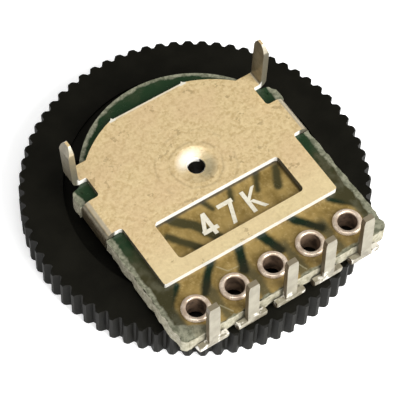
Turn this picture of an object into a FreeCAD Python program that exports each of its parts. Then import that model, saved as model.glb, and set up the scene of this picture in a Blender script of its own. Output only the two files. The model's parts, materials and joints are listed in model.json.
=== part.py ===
import FreeCAD, Part
import math
import os
import re
import Sketcher

# Dual-gang thumbwheel potentiometer: a 16 mm toothed dial turning on a tubular
# boss drawn from the frame plate, carbon tracks printed under a laminate
# element board, five riveted terminals on a 2 mm pitch and two standing legs.
# Millimetres. Origin on the wheel axis, at the level of the wheel's front face.
# +Z points out through the frame plate, +X along the terminal row and +Y away
# from the terminals.

V = FreeCAD.Vector
doc = FreeCAD.newDocument("thumbwheel_potentiometer")
sheet = doc.addObject("Spreadsheet::Sheet", "sizes")

SIZES = [
    # thumbwheel
    ("wheel_radius", "8"),
    ("wheel_thickness", "1.75"),
    ("tooth_count", "72"),
    ("tooth_depth", "0.26"),
    ("tooth_phase", "-0.9"),
    ("valley_half_width", "0.27"),
    ("valley_floor_half_width", "0.06"),
    ("rim_bevel", "0.08"),
    ("recess_radius", "6"),
    ("web_thickness", "0.8"),
    ("hub_radius", "1.55"),
    ("washer_recess_radius", "2.2"),
    ("washer_recess_depth", "0.45"),
    ("axial_play", "0.04"),
    ("bore_clearance", "0.05"),
    ("index_width", "0.25"),
    ("index_depth", "0.15"),
    ("index_inner_radius", "3"),
    ("index_outer_radius", "6.8"),
    ("cut_overrun", "0.1"),
    ("weld_overlap", "0.05"),
    # stacked layers between the wheel and the outside of the frame plate
    ("rim_gap", "0.08"),
    ("terminal_thickness", "0.25"),
    ("film_thickness", "0.04"),
    ("board_thickness", "0.8"),
    ("plate_thickness", "0.3"),
    # frame plate
    ("plate_half_width", "4.57"),
    ("plate_bottom_y", "-4.43"),
    ("plate_corner", "0.12"),
    ("top_arc_radius", "5.65"),
    ("chord_half_width", "1.9"),
    ("chord_y", "4.07"),
    ("burr_half_width", "0.07"),
    ("burr_height", "0.09"),
    ("leg_root_x", "4.05"),
    ("notch_x", "4.5"),
    ("notch_corner", "0.16"),
    ("leg_relief", "0.1"),
    ("clip_bottom_y", "-1"),
    ("clip_top_y", "0.95"),
    ("clip_toe_x", "4.72"),
    ("clip_bend_inner", "0.15"),
    ("window_half_width", "3.3"),
    ("window_bottom_y", "-3.7"),
    ("window_top_y", "-1.58"),
    ("window_corner", "0.2"),
    # standing legs
    ("leg_bend_x", "4.79"),
    ("leg_bottom_y", "2.06"),
    ("leg_width", "0.78"),
    ("leg_bend_inner", "0.12"),
    ("leg_height", "2.7"),
    ("leg_taper_height", "0.6"),
    ("leg_tip_half_width", "0.14"),
    ("leg_tip_thickness", "0.12"),
    ("right_splay", "1"),
    ("left_splay", "4"),
    # tubular boss
    ("boss_inner_radius", "0.39"),
    ("boss_wall", "0.26"),
    ("throat_radius", "0.08"),
    ("dish_radius", "1"),
    ("dish_depth", "0.12"),
    ("boss_root_radius", "1.1"),
    ("boss_root_fillet", "0.3"),
    ("flare_radius", "0.98"),
    ("flare_lip", "0.1"),
    ("flare_bottom_z", "0.06"),
    ("washer_radius", "1.75"),
    ("washer_thickness", "0.18"),
    # element board
    ("board_half_width", "5.43"),
    ("board_corner", "0.45"),
    ("board_arc_radius", "5.3"),
    ("board_hole_radius", "1.15"),
    ("seat_depth", "0.46"),
    ("seat_clearance_y", "0.05"),
    ("ear_x", "5.5"),
    ("ear_top_x", "4.87"),
    ("ear_top_y", "2"),
    ("ear_round", "0.55"),
    # terminals, eyelets and stop peg
    ("terminal_pitch", "2"),
    ("eyelet_y", "-6.02"),
    ("eyelet_hole_radius", "0.44"),
    ("eyelet_barrel_radius", "0.52"),
    ("eyelet_flange_radius", "0.68"),
    ("eyelet_flange_height", "0.2"),
    ("eyelet_roll", "0.11"),
    ("eyelet_lip", "0.05"),
    ("eyelet_flare_radius", "0.64"),
    ("land_radius", "0.72"),
    ("strip_half_width", "0.7"),
    ("shoulder_half_width", "0.74"),
    ("terminal_face_y", "-7.5"),
    ("terminal_bend_inner", "0.08"),
    ("shoulder_height", "0.58"),
    ("pin_half_width", "0.28"),
    ("pin_tip_half_width", "0.23"),
    ("pin_taper", "0.3"),
    ("pin_height", "3.5"),
    ("pin_lean", "0.11"),
    ("edge_clearance", "0.05"),
    ("peg_radius", "0.3"),
    ("peg_orbit", "5.21"),
    ("peg_angle", "-81.4"),
    ("peg_seat_depth", "0.5"),
    ("peg_length", "0.9"),
    # printed tracks and collector rings, as radii from the axis
    ("outer_track_r1", "3.9"),
    ("outer_track_r2", "4.5"),
    ("outer_ring_r1", "3.25"),
    ("outer_ring_r2", "3.6"),
    ("inner_track_r1", "2.45"),
    ("inner_track_r2", "2.95"),
    ("inner_ring_r1", "1.8"),
    ("inner_ring_r2", "2.15"),
    ("track_overlap", "4"),
    ("end_land_span", "7"),
    ("inner_left_land_span", "20"),
    ("right_land_span", "12"),
    ("outer_ring_extra", "14"),
    ("inner_ring_extra", "28"),
    ("link_foot_half_width", "0.6"),
    ("link_tip_half_width", "0.2"),
    ("outer_link_inset", "3"),
    ("inner_link_inset", "4"),
    # wipers and stop sector
    ("wiper_thickness", "0.12"),
    ("wiper_gap", "0.03"),
    ("wiper_base_x1", "1.1"),
    ("wiper_base_x2", "2.2"),
    ("finger_half_width", "0.16"),
    ("finger_tip_x", "0.12"),
    ("stake_radius", "0.17"),
    ("stake_head_radius", "0.24"),
    ("stake_head_height", "0.12"),
    ("stake_spacing", "0.58"),
    ("stop_inner_radius", "4.95"),
    ("stop_top_z", "1.6"),
    ("travel", "140"),
    ("stop_margin", "1"),
    # printed value
    ("ink_thickness", "0.02"),
    ("ink_half_width", "0.1"),
    ("glyph_height", "1.2"),
    ("glyph_width", "0.8"),
    ("glyph_step", "1.25"),
    ("glyph_base_y", "-3.35"),
    ("glyph_start_x", "-1.65"),
]

DERIVED = [
    ("root_radius", "=wheel_radius - tooth_depth"),
    ("valley_outer_radius", "=wheel_radius + tooth_depth"),
    ("valley_outer_half_width", "=2 * valley_half_width - valley_floor_half_width"),
    ("valley_angle", "=tooth_phase + 180 / tooth_count"),
    ("index_half_width", "=index_width / 2"),
    ("boss_outer_radius", "=boss_inner_radius + boss_wall"),
    ("bore_radius", "=boss_outer_radius + bore_clearance"),
    ("strip_bottom_z", "=wheel_thickness + rim_gap"),
    ("strip_top_z", "=strip_bottom_z + terminal_thickness"),
    ("board_bottom_z", "=strip_top_z + film_thickness"),
    ("board_top_z", "=board_bottom_z + board_thickness"),
    ("plate_top_z", "=board_top_z + plate_thickness"),
    ("hub_top_z", "=board_bottom_z - axial_play"),
    ("washer_top_z", "=washer_recess_depth - axial_play"),
    ("washer_bottom_z", "=washer_top_z - washer_thickness"),
    ("flare_mouth_radius", "=flare_radius - 2 * flare_lip - boss_wall / 2"),
    ("throat_top_radius", "=boss_inner_radius + throat_radius"),
    ("throat_top_z", "=plate_top_z - dish_depth"),
    ("board_seat_x", "=board_half_width - seat_depth"),
    ("clip_bend_x", "=board_seat_x"),
    ("clip_wall_x", "=clip_bend_x + clip_bend_inner"),
    ("clip_bend_outer", "=clip_bend_inner + plate_thickness"),
    ("clip_face_x", "=clip_bend_x + clip_bend_outer"),
    ("clip_upper_z", "=board_top_z - clip_bend_inner"),
    ("clip_lower_z", "=board_bottom_z + clip_bend_inner"),
    ("seat_bottom_y", "=clip_bottom_y - seat_clearance_y"),
    ("seat_top_y", "=clip_top_y + seat_clearance_y"),
    ("leg_top_y", "=leg_bottom_y + leg_width"),
    ("leg_mid_y", "=leg_bottom_y + leg_width / 2"),
    ("leg_bend_outer", "=leg_bend_inner + plate_thickness"),
    ("leg_taper_z", "=plate_top_z + leg_height - leg_taper_height"),
    ("leg_tip_z", "=plate_top_z + leg_height"),
    ("leg_far_x", "=leg_bend_x + leg_height"),
    ("leg_shoulder", "=leg_width / 2 - leg_tip_half_width"),
    ("leg_bullet_radius", "=(leg_taper_height ^ 2 + leg_shoulder ^ 2) / (2 * leg_shoulder)"),
    ("terminal_back_y", "=terminal_face_y + terminal_thickness"),
    ("terminal_bend_outer", "=terminal_bend_inner + terminal_thickness"),
    ("terminal_bend_y", "=terminal_back_y + terminal_bend_inner"),
    ("terminal_bend_z", "=strip_top_z + terminal_bend_inner"),
    ("shoulder_z", "=strip_bottom_z + shoulder_height"),
    ("pin_top_z", "=strip_bottom_z + pin_height"),
    ("pin_taper_z", "=pin_top_z - pin_taper"),
    ("board_bottom_y", "=terminal_back_y + edge_clearance"),
    ("pin_taper_lean", "=pin_lean * (pin_taper_z - shoulder_z) / (pin_top_z - shoulder_z)"),
    ("eyelet_top_z", "=board_top_z + eyelet_flange_height"),
    ("eyelet_flare", "=eyelet_flare_radius - eyelet_barrel_radius"),
    ("eyelet_flare_z", "=strip_bottom_z + eyelet_flare"),
    ("flare_hole_radius", "=eyelet_hole_radius + eyelet_flare"),
    ("peg_x", "=peg_orbit * cos(peg_angle)"),
    ("peg_y", "=peg_orbit * sin(peg_angle)"),
    ("peg_top_z", "=board_bottom_z + peg_seat_depth"),
    ("peg_bottom_z", "=board_bottom_z - peg_length"),
    ("finger_top_z", "=strip_top_z - wiper_gap"),
    ("finger_base_top_z", "=web_thickness + wiper_thickness"),
    ("stake_head_z", "=finger_base_top_z + stake_head_height"),
    ("stake_x1", "=(wiper_base_x1 + wiper_base_x2 - stake_spacing) / 2"),
    ("stake_x2", "=(wiper_base_x1 + wiper_base_x2 + stake_spacing) / 2"),
    ("outer_track_mid", "=(outer_track_r1 + outer_track_r2) / 2"),
    ("outer_ring_mid", "=(outer_ring_r1 + outer_ring_r2) / 2"),
    ("inner_track_mid", "=(inner_track_r1 + inner_track_r2) / 2"),
    ("inner_ring_mid", "=(inner_ring_r1 + inner_ring_r2) / 2"),
    ("outer_stake_y", "=(outer_track_mid + outer_ring_mid) / 2"),
    ("inner_stake_y", "=(inner_track_mid + inner_ring_mid) / 2"),
    ("peg_half_angle", "=180 * peg_radius / peg_orbit / pi"),
    ("stop_span", "=360 - 2 * travel - 2 * stop_margin - 2 * peg_half_angle"),
    ("stop_start", "=peg_angle + 180 - stop_span / 2"),
    ("track_span", "=2 * travel + track_overlap"),
    ("track_start", "=90 - track_span / 2"),
    ("track_end", "=track_start + track_span"),
    ("right_land_start", "=track_start - right_land_span"),
    ("glyph_top_y", "=glyph_base_y + glyph_height"),
    ("glyph_mid_y", "=glyph_base_y + glyph_height / 2"),
    ("glyph_bar_y", "=glyph_base_y + glyph_height / 4"),
    ("glyph_third", "=glyph_width / 3"),
]

# Arcs printed with each conductor: name, inner and outer radius, span, start.
CONDUCTOR_ARCS = {
    1: [("outer_left_end", "outer_track_r1", "outer_track_r2", "end_land_span", "track_end")],
    2: [("outer_ring", "outer_ring_r1", "outer_ring_r2", "track_span+outer_ring_extra", "track_start")],
    3: [("inner_left_end", "inner_track_r1", "inner_track_r2", "inner_left_land_span", "track_end")],
    4: [("inner_ring", "inner_ring_r1", "inner_ring_r2", "track_span+inner_ring_extra",
         "track_start-inner_ring_extra")],
    5: [("outer_right_end", "outer_track_r1", "outer_track_r2", "right_land_span", "right_land_start"),
        ("common_link", "inner_track_r1", "outer_track_r2", "end_land_span", "right_land_start"),
        ("inner_right_end", "inner_track_r1", "inner_track_r2", "right_land_span", "right_land_start")],
}

# Where each conductor's link meets its ring or land: radius and angle.
LINK_TIPS = {
    1: ("outer_track_mid", "track_end + end_land_span / 2"),
    2: ("outer_ring_mid", "track_end + outer_ring_extra - outer_link_inset"),
    3: ("inner_track_mid", "track_end + inner_left_land_span - inner_link_inset"),
    4: ("inner_ring_mid", "track_start - inner_ring_extra + outer_link_inset"),
    5: ("outer_track_mid", "track_start - right_land_span / 2"),
}

TERMINALS = (1, 2, 3, 4, 5)


def leg_cells(name):
    """Corners of a leg's section, leaning out by its splay angle and coined thin at the tip."""
    splay = name + "_splay"
    cells = []
    for face in ("inner", "outer"):
        bend = "leg_bend_" + face
        across, up = "%s_%s_x" % (name, face), "%s_%s_z" % (name, face)
        cells.append((across, "=leg_bend_x + %s * cos(%s)" % (bend, splay)))
        cells.append((up, "=plate_top_z + leg_bend_inner - %s * sin(%s)" % (bend, splay)))
    cells.append((name + "_run", "=(leg_tip_z - %s_inner_z) / cos(%s)" % (name, splay)))
    full = name + "_run"
    for spot, face, run in (("tip", "inner", full), ("coin", "outer", "(%s - leg_taper_height)" % full)):
        cells.append(("%s_%s_x" % (name, spot), "=%s_%s_x + %s * sin(%s)" % (name, face, run, splay)))
        cells.append(("%s_%s_z" % (name, spot), "=%s_%s_z + %s * cos(%s)" % (name, face, run, splay)))
    cells.append((name + "_edge_x", "=%s_tip_x + leg_tip_thickness * cos(%s)" % (name, splay)))
    cells.append((name + "_edge_z", "=%s_tip_z - leg_tip_thickness * sin(%s)" % (name, splay)))
    return cells


def link_cells():
    cells = []
    for i, (radius, angle) in LINK_TIPS.items():
        cells.append(("link_%d_x" % i, "=%s * cos(%s)" % (radius, angle)))
        cells.append(("link_%d_y" % i, "=%s * sin(%s)" % (radius, angle)))
    return cells


def glyph_cells():
    cells = []
    for i in range(3):
        cells.append(("glyph_%d_left" % i, "=glyph_start_x + %d * glyph_step" % i))
        cells.append(("glyph_%d_right" % i, "=glyph_%d_left + glyph_width" % i))
    return cells


def fill_sheet():
    cells = SIZES + DERIVED + leg_cells("left") + leg_cells("right") + link_cells() + glyph_cells()
    for row, (name, text) in enumerate(cells, start=1):
        sheet.set("A%d" % row, name)
        sheet.set("B%d" % row, text)
        sheet.setAlias("B%d" % row, name)
    doc.recompute()


def terms(text):
    return re.findall(r"[+-]?[^+-]+", text.replace(" ", ""))


def number(text):
    """Value of a sum of sheet names and plain numbers."""
    total = 0.0
    for term in terms(text):
        sign = -1.0 if term[0] == "-" else 1.0
        name = term.lstrip("+-")
        total += sign * float(sheet.get(name) if name[0].isalpha() else name)
    return total


def formula(text):
    """The same sum written as an expression on the sheet."""
    pieces = []
    for term in terms(text):
        name = term.lstrip("+-")
        cell = "sizes." + name if name[0].isalpha() else name
        pieces.append(("-" if term[0] == "-" else "+") + cell)
    return "".join(pieces).lstrip("+")


def new_body(label):
    body = doc.addObject("PartDesign::Body", label)
    body.Label = label
    return body


def new_sketch(body, name, role, height):
    sketch = body.newObject("Sketcher::SketchObject", body.Name + "_" + name)
    for feature in body.Origin.OriginFeatures:
        if feature.Role == role:
            sketch.AttachmentSupport = [(feature, "")]
    sketch.MapMode = "FlatFace"
    sketch.setExpression(".AttachmentOffset.Base.z", formula(height))
    return sketch


def lock(sketch, kind, edge, end, text):
    """Tie one coordinate or radius to the sheet."""
    if kind == "Radius":
        rule = Sketcher.Constraint(kind, edge, number(text))
    else:
        rule = Sketcher.Constraint(kind, edge, end, number(text))
    index = sketch.addConstraint(rule)
    sketch.setExpression("Constraints[%d]" % index, formula(text))


def arc_between(start, end, radius, side):
    """Arc from start to end; side 1 keeps the centre on the left, -1 on the right."""
    half = (end - start) * 0.5
    across = V(-half.y, half.x, 0)
    across.normalize()
    reach = math.sqrt(max(radius * radius - half.Length ** 2, 0.0))
    centre = start + half + across * (reach * side)
    first = math.atan2(start.y - centre.y, start.x - centre.x)
    last = math.atan2(end.y - centre.y, end.x - centre.x)
    circle = Part.Circle(centre, V(0, 0, 1), radius)
    if side > 0:
        return Part.ArcOfCircle(circle, first, last), (1, 2)
    return Part.ArcOfCircle(circle, last, first), (2, 1)


def draw_outline(sketch, points):
    """Closed outline; a point holding (x, y, radius, side) starts an arc to the next."""
    spots = [V(number(point[0]), number(point[1]), 0) for point in points]
    first = sketch.GeometryCount
    count = len(points)
    ends = []
    for i, point in enumerate(points):
        target = spots[(i + 1) % count]
        if len(point) == 2:
            sketch.addGeometry(Part.LineSegment(spots[i], target), False)
            ends.append((1, 2))
        else:
            arc, order = arc_between(spots[i], target, number(point[2]), point[3])
            sketch.addGeometry(arc, False)
            ends.append(order)
    for i, point in enumerate(points):
        after = (i + 1) % count
        join = (first + i, ends[i][1], first + after, ends[after][0])
        sketch.addConstraint(Sketcher.Constraint("Coincident", *join))
        lock(sketch, "DistanceX", first + i, ends[i][0], point[0])
        lock(sketch, "DistanceY", first + i, ends[i][0], point[1])
        if len(point) == 4:
            lock(sketch, "Radius", first + i, 0, point[2])


def draw_circle(sketch, x, y, radius):
    centre = V(number(x), number(y), 0)
    edge = sketch.addGeometry(Part.Circle(centre, V(0, 0, 1), number(radius)), False)
    lock(sketch, "Radius", edge, 0, radius)
    lock(sketch, "DistanceX", edge, 3, x)
    lock(sketch, "DistanceY", edge, 3, y)


def box_points(x1, x2, y1, y2):
    return [(x1, y1), (x2, y1), (x2, y2), (x1, y2)]


def extrude(body, kind, sketch, length):
    """Pad along the sketch's normal, or Pocket against it."""
    feature = body.newObject("PartDesign::" + kind, sketch.Name + "_" + kind)
    feature.Profile = sketch
    feature.setExpression("Length", formula(length))
    sketch.Visibility = False
    return feature


def solid(body, kind, name, role, height, length, outlines=(), circles=()):
    sketch = new_sketch(body, name, role, height)
    for points in outlines:
        draw_outline(sketch, points)
    for circle in circles:
        draw_circle(sketch, *circle)
    return extrude(body, kind, sketch, length)


def spin(body, kind, name, points, angle="360", start="0"):
    """Revolve a radius-height outline about the wheel axis, from a start angle."""
    sketch = new_sketch(body, name, "XZ_Plane", "0")
    sketch.AttachmentOffset = FreeCAD.Placement(V(0, 0, 0), V(0, 1, 0), number(start))
    sketch.setExpression(".AttachmentOffset.Rotation.Angle", formula(start))
    draw_outline(sketch, points)
    feature = body.newObject("PartDesign::" + kind, sketch.Name + "_" + kind)
    feature.Profile = sketch
    feature.ReferenceAxis = (sketch, ["V_Axis"])
    feature.setExpression("Angle", formula(angle))
    sketch.Visibility = False
    return feature


def ring_section(inner, outer, bottom, top):
    return box_points(inner, outer, bottom, top)


def mirrored(points):
    """The same outline reflected to the other side of the middle."""
    flipped = []
    for point in points:
        turned = "".join(("+" if term[0] == "-" else "-") + term.lstrip("+-") for term in terms(point[0]))
        flipped.append((turned, point[1]) + tuple([point[2], -point[3]] if len(point) == 4 else []))
    return flipped


def round_corners(body, name, radius, spots):
    """Fillet the upright edges standing over the given points."""
    doc.recompute()
    base = body.Tip
    wanted = [(number(x), number(y)) for x, y in spots]
    names = []
    for i, edge in enumerate(base.Shape.Edges, start=1):
        first, last = edge.Vertexes[0].Point, edge.Vertexes[-1].Point
        level = math.hypot(first.x - last.x, first.y - last.y)
        if level < 1e-6 and any(math.hypot(first.x - x, first.y - y) < 1e-6 for x, y in wanted):
            names.append("Edge%d" % i)
    feature = body.newObject("PartDesign::Fillet", body.Name + "_" + name)
    feature.Base = (base, names)
    feature.setExpression("Radius", formula(radius))


def make_thumbwheel():
    body = new_body("thumbwheel")
    spin(body, "Revolution", "blank", [
        ("bore_radius", "washer_recess_depth"),
        ("washer_recess_radius", "washer_recess_depth"),
        ("washer_recess_radius", "0"),
        ("wheel_radius-rim_bevel", "0"),
        ("wheel_radius", "rim_bevel"),
        ("wheel_radius", "wheel_thickness-rim_bevel"),
        ("wheel_radius-rim_bevel", "wheel_thickness"),
        ("recess_radius", "wheel_thickness"),
        ("recess_radius", "web_thickness"),
        ("hub_radius", "web_thickness"),
        ("hub_radius", "hub_top_z"),
        ("bore_radius", "hub_top_z"),
    ])
    spin(body, "Revolution", "stop_sector",
         ring_section("stop_inner_radius", "recess_radius+weld_overlap",
                      "web_thickness-weld_overlap", "stop_top_z"),
         "stop_span", "stop_start")
    for name, stake_y, side in (("outer_stakes", "outer_stake_y", ""),
                                ("inner_stakes", "inner_stake_y", "-")):
        spots = [(side + "stake_x1", stake_y), (side + "stake_x2", stake_y)]
        solid(body, "Pad", name, "XY_Plane", "web_thickness-weld_overlap",
              "stake_head_z-web_thickness+weld_overlap",
              circles=[(x, y, "stake_radius") for x, y in spots])
        solid(body, "Pad", name + "_heads", "XY_Plane", "finger_base_top_z", "stake_head_height",
              circles=[(x, y, "stake_head_radius") for x, y in spots])
    solid(body, "Pocket", "index_mark", "XY_Plane", "index_depth", "index_depth+cut_overrun",
          outlines=[box_points("-index_half_width", "index_half_width",
                               "-index_outer_radius", "-index_inner_radius")])
    valley = solid(body, "Pocket", "tooth_valley", "XY_Plane", "wheel_thickness+cut_overrun",
                   "wheel_thickness+cut_overrun+cut_overrun",
                   outlines=[[("root_radius", "-valley_floor_half_width"),
                              ("valley_outer_radius", "-valley_outer_half_width"),
                              ("valley_outer_radius", "valley_outer_half_width"),
                              ("root_radius", "valley_floor_half_width")]])
    sketch = valley.Profile[0]
    sketch.AttachmentOffset = FreeCAD.Placement(V(0, 0, 0), V(0, 0, 1), number("valley_angle"))
    sketch.setExpression(".AttachmentOffset.Rotation.Angle", formula("valley_angle"))
    teeth = body.newObject("PartDesign::PolarPattern", "thumbwheel_teeth")
    teeth.Originals = [valley]
    teeth.Axis = (sketch, ["N_Axis"])
    teeth.Angle = 360
    teeth.setExpression("Occurrences", "sizes.tooth_count")
    body.Tip = teeth
    return body


def make_wiper(label, side, track_mid, ring_mid, stake_y):
    """Spring with two fingers, its base to the right (1) or the left (-1)."""
    body = new_body(label)
    base = box_points("wiper_base_x1", "wiper_base_x2",
                      ring_mid + "-finger_half_width", track_mid + "+finger_half_width")
    finger = [("wiper_base_x1", "web_thickness"),
              ("finger_tip_x", "finger_top_z-wiper_thickness"),
              ("-finger_tip_x", "finger_top_z-wiper_thickness-wiper_thickness"),
              ("-finger_tip_x", "finger_top_z-wiper_thickness"),
              ("finger_tip_x", "finger_top_z"),
              ("wiper_base_x1", "finger_base_top_z")]
    sign = "" if side > 0 else "-"
    if side < 0:
        base = mirrored(base)
        finger = mirrored(finger)
    solid(body, "Pad", "base", "XY_Plane", "web_thickness", "wiper_thickness", outlines=[base])
    for name, mid in (("ring_finger", ring_mid), ("track_finger", track_mid)):
        solid(body, "Pad", name, "XZ_Plane", "-" + mid + "-finger_half_width",
              "finger_half_width+finger_half_width", outlines=[finger])
    solid(body, "Pocket", "stake_holes", "XY_Plane", "finger_base_top_z", "wiper_thickness",
          circles=[(sign + x, stake_y, "stake_radius") for x in ("stake_x1", "stake_x2")])
    return body


def make_frame_plate():
    body = new_body("frame_plate")
    solid(body, "Pad", "sheet", "XY_Plane", "board_top_z", "plate_thickness", outlines=[[
        ("-plate_half_width", "plate_bottom_y"),
        ("plate_half_width", "plate_bottom_y"),
        ("plate_half_width", "clip_bottom_y"),
        ("clip_bend_x", "clip_bottom_y"),
        ("clip_bend_x", "clip_top_y"),
        ("notch_x", "clip_top_y"),
        ("notch_x", "leg_bottom_y"),
        ("leg_bend_x", "leg_bottom_y"),
        ("leg_bend_x", "leg_top_y"),
        ("leg_root_x", "leg_top_y", "top_arc_radius", 1),
        ("chord_half_width+burr_half_width", "chord_y"),
        ("chord_half_width", "chord_y+burr_height"),
        ("chord_half_width-burr_half_width", "chord_y"),
        ("-chord_half_width+burr_half_width", "chord_y"),
        ("-chord_half_width", "chord_y+burr_height"),
        ("-chord_half_width-burr_half_width", "chord_y", "top_arc_radius", 1),
        ("-leg_root_x", "leg_top_y"),
        ("-leg_bend_x", "leg_top_y"),
        ("-leg_bend_x", "leg_bottom_y"),
        ("-notch_x", "leg_bottom_y"),
        ("-notch_x", "clip_top_y"),
        ("-clip_bend_x", "clip_top_y"),
        ("-clip_bend_x", "clip_bottom_y"),
        ("-plate_half_width", "clip_bottom_y"),
    ]])
    solid(body, "Pocket", "window", "XY_Plane", "plate_top_z", "plate_thickness",
          outlines=[box_points("-window_half_width", "window_half_width",
                               "window_bottom_y", "window_top_y")])
    round_corners(body, "window_corners", "window_corner", [
        (side + "window_half_width", y) for side in ("", "-") for y in ("window_bottom_y", "window_top_y")])
    round_corners(body, "outer_corners", "plate_corner", [
        (side + "plate_half_width", "plate_bottom_y") for side in ("", "-")])
    round_corners(body, "notch_corners", "notch_corner", [
        (side + x, y) for side in ("", "-")
        for x, y in (("plate_half_width", "clip_bottom_y"), ("notch_x", "clip_top_y"))])
    round_corners(body, "leg_reliefs", "leg_relief", [
        (side + "notch_x", "leg_bottom_y") for side in ("", "-")])
    add_clip(body, "right", 1)
    add_clip(body, "left", -1)
    add_leg(body, "right", 1)
    add_leg(body, "left", -1)
    add_boss(body)
    return body


def add_clip(body, name, side):
    """Tab folded down round the edge of the board and under it."""
    section = [
        ("clip_bend_x-clip_bend_inner", "plate_top_z"),
        ("clip_bend_x", "plate_top_z", "clip_bend_outer", -1),
        ("clip_face_x", "clip_upper_z"),
        ("clip_face_x", "clip_lower_z", "clip_bend_outer", -1),
        ("clip_bend_x", "board_bottom_z-plate_thickness"),
        ("clip_toe_x", "board_bottom_z-plate_thickness"),
        ("clip_toe_x", "board_bottom_z"),
        ("clip_bend_x", "board_bottom_z", "clip_bend_inner", 1),
        ("clip_wall_x", "clip_lower_z"),
        ("clip_wall_x", "clip_upper_z", "clip_bend_inner", 1),
        ("clip_bend_x", "board_top_z"),
        ("clip_bend_x-clip_bend_inner", "board_top_z"),
    ]
    solid(body, "Pad", name + "_clip", "XZ_Plane", "-clip_top_y", "clip_top_y-clip_bottom_y",
          outlines=[section if side > 0 else mirrored(section)])


def add_leg(body, name, side):
    """Leg bent up from the plate, leaning outwards, with a bullet-shaped tip."""
    section = [
        ("leg_bend_x-leg_bend_inner", "board_top_z"),
        ("leg_bend_x", "board_top_z", "leg_bend_outer", 1),
        (name + "_outer_x", name + "_outer_z"),
        (name + "_coin_x", name + "_coin_z"),
        (name + "_edge_x", name + "_edge_z"),
        (name + "_tip_x", name + "_tip_z"),
        (name + "_inner_x", name + "_inner_z", "leg_bend_inner", -1),
        ("leg_bend_x", "plate_top_z"),
        ("leg_bend_x-leg_bend_inner", "plate_top_z"),
    ]
    solid(body, "Pad", name + "_leg", "XZ_Plane", "-leg_top_y", "leg_width",
          outlines=[section if side > 0 else mirrored(section)])
    lower = [("leg_bottom_y", "leg_taper_z", "leg_bullet_radius", -1),
             ("leg_mid_y-leg_tip_half_width", "leg_tip_z"),
             ("leg_mid_y-leg_tip_half_width", "leg_tip_z+leg_taper_height"),
             ("leg_bottom_y-leg_bend_inner", "leg_tip_z+leg_taper_height"),
             ("leg_bottom_y-leg_bend_inner", "leg_taper_z")]
    upper = [("leg_top_y", "leg_taper_z"),
             ("leg_top_y+leg_bend_inner", "leg_taper_z"),
             ("leg_top_y+leg_bend_inner", "leg_tip_z+leg_taper_height"),
             ("leg_mid_y+leg_tip_half_width", "leg_tip_z+leg_taper_height"),
             ("leg_mid_y+leg_tip_half_width", "leg_tip_z", "leg_bullet_radius", -1)]
    plane = "leg_far_x" if side > 0 else "-leg_bend_x"
    solid(body, "Pocket", name + "_leg_taper", "YZ_Plane", plane, "leg_far_x-leg_bend_x",
          outlines=[lower, upper])


def add_boss(body):
    """Shallow dish pressed into the plate, running into a tube flared under the washer."""
    solid(body, "Pocket", "boss_opening", "XY_Plane", "plate_top_z", "plate_thickness",
          circles=[("0", "0", "boss_root_radius")])
    spin(body, "Revolution", "boss", [
        ("boss_root_radius", "plate_top_z"),
        ("dish_radius", "plate_top_z"),
        ("throat_top_radius", "throat_top_z", "throat_radius", 1),
        ("boss_inner_radius", "throat_top_z-throat_radius"),
        ("boss_inner_radius", "washer_bottom_z+flare_lip"),
        ("flare_mouth_radius", "flare_bottom_z"),
        ("flare_radius-flare_lip", "flare_bottom_z"),
        ("flare_radius", "flare_bottom_z+flare_lip"),
        ("flare_radius", "washer_bottom_z"),
        ("boss_outer_radius", "washer_bottom_z"),
        ("boss_outer_radius", "board_top_z-boss_root_fillet", "boss_root_fillet", -1),
        ("boss_outer_radius+boss_root_fillet", "board_top_z"),
        ("boss_root_radius", "board_top_z"),
    ])


def make_element_board():
    body = new_body("element_board")
    solid(body, "Pad", "outline", "XY_Plane", "board_bottom_z", "board_thickness", outlines=[[
        ("-board_half_width+board_corner", "board_bottom_y"),
        ("board_half_width-board_corner", "board_bottom_y", "board_corner", 1),
        ("board_half_width", "board_bottom_y+board_corner"),
        ("board_half_width", "seat_bottom_y"),
        ("board_seat_x", "seat_bottom_y"),
        ("board_seat_x", "seat_top_y"),
        ("ear_x", "seat_top_y"),
        ("ear_x", "ear_top_y-ear_round", "ear_round", 1),
        ("ear_x-ear_round", "ear_top_y"),
        ("ear_top_x", "ear_top_y", "board_arc_radius", 1),
        ("-ear_top_x", "ear_top_y"),
        ("-ear_x+ear_round", "ear_top_y", "ear_round", 1),
        ("-ear_x", "ear_top_y-ear_round"),
        ("-ear_x", "seat_top_y"),
        ("-board_seat_x", "seat_top_y"),
        ("-board_seat_x", "seat_bottom_y"),
        ("-board_half_width", "seat_bottom_y"),
        ("-board_half_width", "board_bottom_y+board_corner", "board_corner", 1),
    ]])
    solid(body, "Pocket", "holes", "XY_Plane", "board_top_z", "board_thickness",
          circles=[("0", "0", "board_hole_radius")]
          + [(terminal_x(i), "eyelet_y", "eyelet_barrel_radius") for i in TERMINALS])
    solid(body, "Pocket", "peg_seat", "XY_Plane", "peg_top_z", "peg_seat_depth",
          circles=[("peg_x", "peg_y", "peg_radius")])
    return body


def terminal_x(i):
    """X of a terminal as a sum of whole pitches from the middle one."""
    if i == 3:
        return "0"
    return ("+terminal_pitch" if i > 3 else "-terminal_pitch") * abs(i - 3)


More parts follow.
